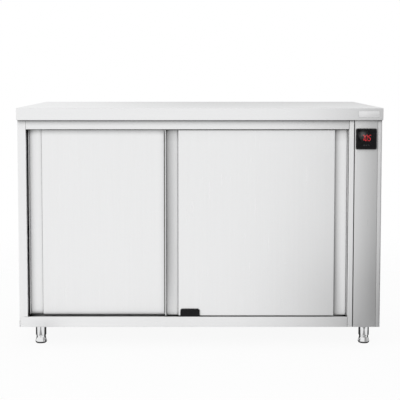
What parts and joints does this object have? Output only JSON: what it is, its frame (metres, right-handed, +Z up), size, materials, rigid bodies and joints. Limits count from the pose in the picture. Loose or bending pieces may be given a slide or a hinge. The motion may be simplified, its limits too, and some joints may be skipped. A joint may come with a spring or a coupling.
{
  "type": "plate warmer cabinet",
  "caption": "Free-standing stainless heated cupboard with a worktop, two overlapping sliding doors, an inner shelf, a fan heater, a side control column and round levelling feet.",
  "frame": {"origin": "on the floor below the middle of the worktop", "axes": "+X to the right along the front, +Y from the front to the back, +Z up"},
  "size_m": [1.3, 0.7, 0.865],
  "materials": {
    "stainless": "satin",
    "polished_stainless": "polished",
    "galvanised": "satin",
    "aluminium": "satin",
    "blackened_steel": "satin",
    "motor_steel": "satin",
    "heater_sheath": "matte",
    "black_plastic": "satin",
    "screen": "gloss",
    "white_nylon": "satin",
    "grey_plastic": "matte",
    "rubber": "matte",
    "board": "matte",
    "honeycomb": "matte",
    "mineral_wool": "matte"
  },
  "bodies": {
    "cabinet": {"worktop_skin": "stainless", "worktop_core": "board", "worktop_stiffeners": "galvanised", "left_side_panel": "stainless", "right_side_panel": "stainless", "back_panel": "stainless", "service_cover": "stainless", "rear_top_rail": "galvanised", "header_rail": "stainless", "bottom_rail": "stainless", "control_post": "stainless", "control_fascia": "stainless", "base_pan": "stainless", "base_channels": "galvanised", "chamber_left_wall": "stainless", "chamber_partition": "stainless", "chamber_back_wall": "stainless", "chamber_floor": "stainless", "chamber_ceiling": "stainless", "insulation": "mineral_wool", "door_track": "stainless", "track_bumpers": "rubber", "bottom_guide": "black_plastic", "shelf_uprights": "stainless", "shelf_clips": "stainless", "fan_motor": "motor_steel", "motor_bracket": "galvanised", "heater_ring": "heater_sheath", "air_guard": "stainless", "controller_housing": "black_plastic", "controller_screen": "screen", "temperature_probe": "polished_stainless", "overheat_cutout": "galvanised", "terminal_block": "grey_plastic", "cable_gland": "black_plastic", "leg_plates": "galvanised", "leg_tubes": "polished_stainless", "leg_inserts": "grey_plastic"},
    "left_door": {"left_door_skin": "stainless", "left_door_pan": "stainless", "left_door_core": "honeycomb", "left_door_hangers": "blackened_steel", "left_door_axles": "galvanised"},
    "right_door": {"right_door_skin": "stainless", "right_door_pan": "stainless", "right_door_core": "honeycomb", "right_door_hangers": "blackened_steel", "right_door_axles": "galvanised"},
    "shelf": {"shelf": "stainless"},
    "fan": {"fan_impeller": "aluminium", "fan_shaft": "galvanised"},
    "left_outer_roller": {"left_door_roller_outer": "white_nylon"},
    "left_inner_roller": {"left_door_roller_inner": "white_nylon"},
    "right_inner_roller": {"right_door_roller_inner": "white_nylon"},
    "right_outer_roller": {"right_door_roller_outer": "white_nylon"},
    "front_left_foot": {"foot_front_left": "polished_stainless"},
    "front_right_foot": {"foot_front_right": "polished_stainless"},
    "rear_left_foot": {"foot_rear_left": "polished_stainless"},
    "rear_right_foot": {"foot_rear_right": "polished_stainless"}
  },
  "joints": [
    {"name": "left_door_slide", "type": "slide", "parent": "cabinet", "child": "left_door", "axis": [1, 0, 0], "range_m": [0, 0.49075]},
    {"name": "right_door_slide", "type": "slide", "parent": "cabinet", "child": "right_door", "axis": [1, 0, 0], "range_m": [-0.49075, 0]},
    {"name": "shelf_lift", "type": "slide", "parent": "cabinet", "child": "shelf", "axis": [0, 0, 1], "range_m": [0, 0.02]},
    {"name": "fan_spin", "type": "hinge", "parent": "cabinet", "child": "fan", "pos_m": [0.51, 0.01, 0.268], "axis": [1, 0, 0], "continuous": true},
    {"name": "left_outer_roller_spin", "type": "hinge", "parent": "left_door", "child": "left_outer_roller", "pos_m": [-0.5846, -0.307, 0.8028], "axis": [0, 1, 0], "continuous": true},
    {"name": "left_inner_roller_spin", "type": "hinge", "parent": "left_door", "child": "left_inner_roller", "pos_m": [0.00915, -0.307, 0.8028], "axis": [0, 1, 0], "continuous": true},
    {"name": "right_inner_roller_spin", "type": "hinge", "parent": "right_door", "child": "right_inner_roller", "pos_m": [-0.09385, -0.327, 0.8028], "axis": [0, 1, 0], "continuous": true},
    {"name": "right_outer_roller_spin", "type": "hinge", "parent": "right_door", "child": "right_outer_roller", "pos_m": [0.4999, -0.327, 0.8028], "axis": [0, 1, 0], "continuous": true},
    {"name": "front_left_foot_level", "type": "slide", "parent": "cabinet", "child": "front_left_foot", "axis": [0, 0, -1], "range_m": [0, 0.03]},
    {"name": "front_right_foot_level", "type": "slide", "parent": "cabinet", "child": "front_right_foot", "axis": [0, 0, -1], "range_m": [0, 0.03]},
    {"name": "rear_left_foot_level", "type": "slide", "parent": "cabinet", "child": "rear_left_foot", "axis": [0, 0, -1], "range_m": [0, 0.03]},
    {"name": "rear_right_foot_level", "type": "slide", "parent": "cabinet", "child": "rear_right_foot", "axis": [0, 0, -1], "range_m": [0, 0.03]}
  ],
  "couplings": [
    {"joint": "left_outer_roller_spin", "follows": "left_door_slide", "rad_per_m": 100},
    {"joint": "left_inner_roller_spin", "follows": "left_door_slide", "rad_per_m": 100},
    {"joint": "right_inner_roller_spin", "follows": "right_door_slide", "rad_per_m": 100},
    {"joint": "right_outer_roller_spin", "follows": "right_door_slide", "rad_per_m": 100}
  ]
}
